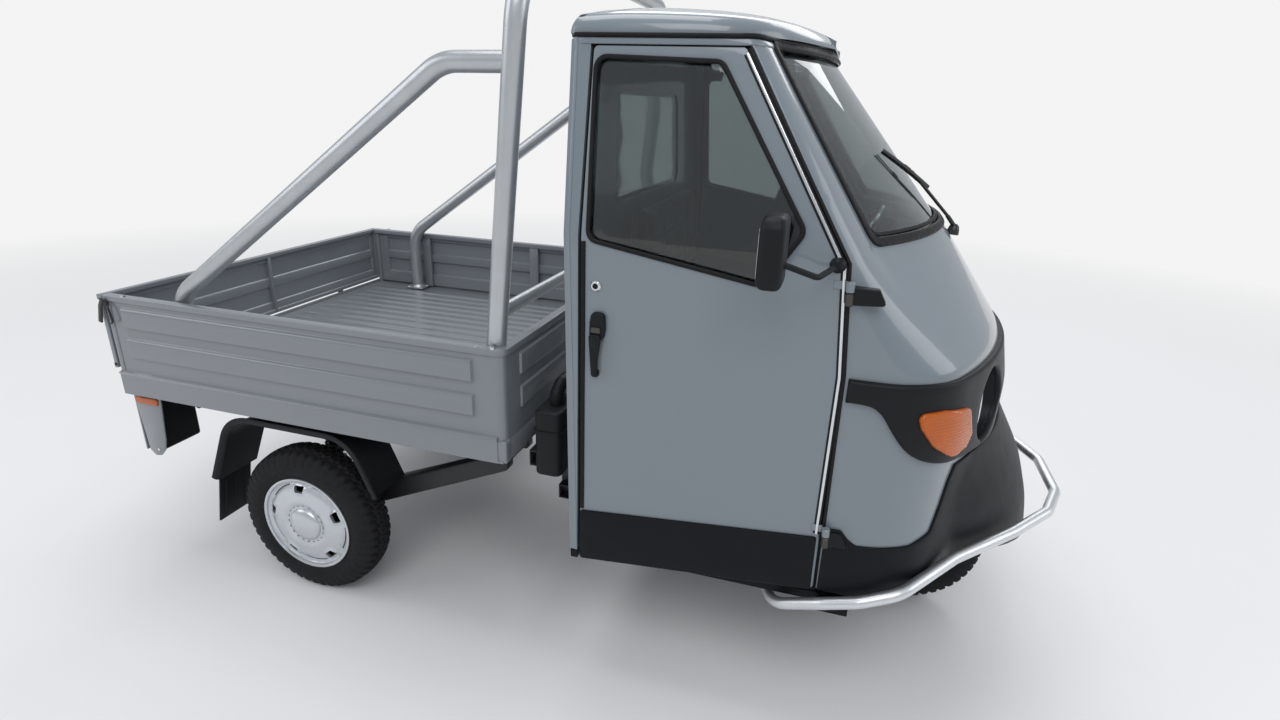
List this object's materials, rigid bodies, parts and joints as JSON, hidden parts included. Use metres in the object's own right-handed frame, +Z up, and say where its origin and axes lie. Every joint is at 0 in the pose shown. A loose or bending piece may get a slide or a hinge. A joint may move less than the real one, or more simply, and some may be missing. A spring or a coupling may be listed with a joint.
{
  "type": "three wheeled pickup car",
  "caption": "Small three wheeled pickup with a closed cab, a steered front wheel, a low load bed and a tubular roll bar.",
  "frame": {"origin": "on the ground, midway along the overall length, on the centre plane", "axes": "+X forward, +Y to the vehicle's left, +Z up"},
  "size_m": [2.49, 1.504, 1.6464],
  "materials": {
    "body_paint": "gloss",
    "bed_paint": "gloss",
    "frame_black": "satin",
    "black_metal": "satin",
    "black_plastic": "matt",
    "tinted_glass": "gloss",
    "clear_lens": "gloss",
    "orange_lens": "gloss",
    "polished_steel": "polished",
    "silver_tube": "satin",
    "seat_cover": "woven",
    "cast_metal": "rough",
    "dark_steel": "satin",
    "tyre_rubber": "matt",
    "wheel_silver": "satin"
  },
  "bodies": {
    "root": {"frame_rails": "frame_black", "frame_cross_members": "frame_black", "cab_floor": "body_paint", "cab_rear_wall": "body_paint", "cab_nose": "body_paint", "cab_roof": "body_paint", "windscreen": "tinted_glass", "rear_window": "tinted_glass", "front_mask": "black_plastic", "front_apron": "black_plastic", "front_skirts": "black_plastic", "headlamps": "clear_lens", "front_indicators": "orange_lens", "front_bumper": "polished_steel", "wiper": "black_metal", "dashboard": "black_plastic", "seat_cushions": "seat_cover", "door_hinges": "black_metal", "bed_floor": "bed_paint", "bed_bearers": "bed_paint", "bed_sides": "bed_paint", "bed_front_wall": "bed_paint", "roll_bar": "silver_tube", "rear_mudguards": "black_plastic", "rear_suspension": "frame_black", "engine_block": "cast_metal", "exhaust": "dark_steel", "air_box": "black_plastic", "tail_lamps": "black_plastic", "lamp_brackets": "body_paint"},
    "door_right_body": {"door_right": "body_paint", "door_glass_right": "tinted_glass", "door_cladding_right": "black_plastic", "door_handle_right": "black_plastic", "mirror_right": "black_plastic"},
    "door_left_body": {"door_left": "body_paint", "door_glass_left": "tinted_glass", "door_cladding_left": "black_plastic", "door_handle_left": "black_plastic", "mirror_left": "black_plastic"},
    "tailgate_body": {"tailgate": "bed_paint"},
    "rear_wheel_right": {"tyre_rear_right": "tyre_rubber", "wheel_rear_right": "wheel_silver"},
    "rear_wheel_left": {"tyre_rear_left": "tyre_rubber", "wheel_rear_left": "wheel_silver"},
    "steering": {"front_fork": "frame_black", "handlebar": "black_metal"},
    "front_wheel": {"tyre_front": "tyre_rubber", "wheel_front": "wheel_silver"}
  },
  "joints": [
    {"name": "steering_turn", "type": "hinge", "parent": "root", "child": "steering", "pos_m": [0.905, 0, 0.217], "axis": [-0.2079, 0, 0.9781], "range_deg": [-35, 35]},
    {"name": "front_wheel_spin", "type": "hinge", "parent": "steering", "child": "front_wheel", "pos_m": [0.905, 0, 0.217], "axis": [0, 1, 0], "continuous": true},
    {"name": "rear_wheel_spin_right", "type": "hinge", "parent": "root", "child": "rear_wheel_right", "pos_m": [-0.685, -0.51, 0.217], "axis": [0, 1, 0], "continuous": true},
    {"name": "rear_wheel_spin_left", "type": "hinge", "parent": "root", "child": "rear_wheel_left", "pos_m": [-0.685, 0.51, 0.217], "axis": [0, 1, 0], "continuous": true},
    {"name": "door_swing_right", "type": "hinge", "parent": "root", "child": "door_right_body", "pos_m": [0.678, -0.603, 0.52], "axis": [-0.0411, 0, 0.9992], "range_deg": [0, 75]},
    {"name": "door_swing_left", "type": "hinge", "parent": "root", "child": "door_left_body", "pos_m": [0.678, 0.603, 0.52], "axis": [0.0411, 0, -0.9992], "range_deg": [0, 75]},
    {"name": "tailgate_drop", "type": "hinge", "parent": "root", "child": "tailgate_body", "pos_m": [-1.24, 0, 0.594], "axis": [0, -1, 0], "range_deg": [0, 170]}
  ]
}
